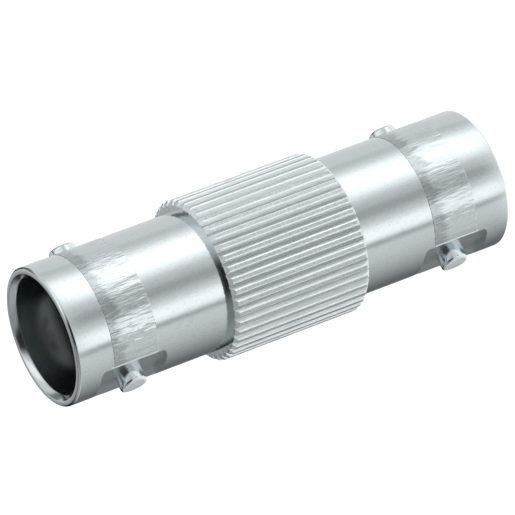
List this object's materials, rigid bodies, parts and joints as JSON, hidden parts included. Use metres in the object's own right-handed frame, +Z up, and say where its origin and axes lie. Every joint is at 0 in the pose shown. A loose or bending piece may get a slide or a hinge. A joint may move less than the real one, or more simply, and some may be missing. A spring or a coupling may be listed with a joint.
{
  "type": "bayonet coaxial jack coupler",
  "caption": "Straight nickel-plated coaxial coupler with a bayonet jack at each end, a knurled middle sleeve, and a slotted centre contact held in insulators.",
  "frame": {"origin": "centre of the lower rim's end plane, where the part stands", "axes": "+Z up along the part's axis from the lower jack to the upper one, X through the bayonet studs"},
  "size_m": [0.0112, 0.0112, 0.0334],
  "materials": {
    "nickel_shell": "bright nickel plate on turned brass",
    "nickel_sleeve": "bright nickel plate on knurled brass",
    "insulator": "dark moulded plastic",
    "contact": "gold flash on spring bronze"
  },
  "bodies": {
    "root": {"top_shell": "nickel_shell", "bottom_shell": "nickel_shell", "knurled_sleeve": "nickel_sleeve", "top_insulator": "insulator", "bottom_insulator": "insulator", "centre_contact": "contact"}
  },
  "joints": []
}
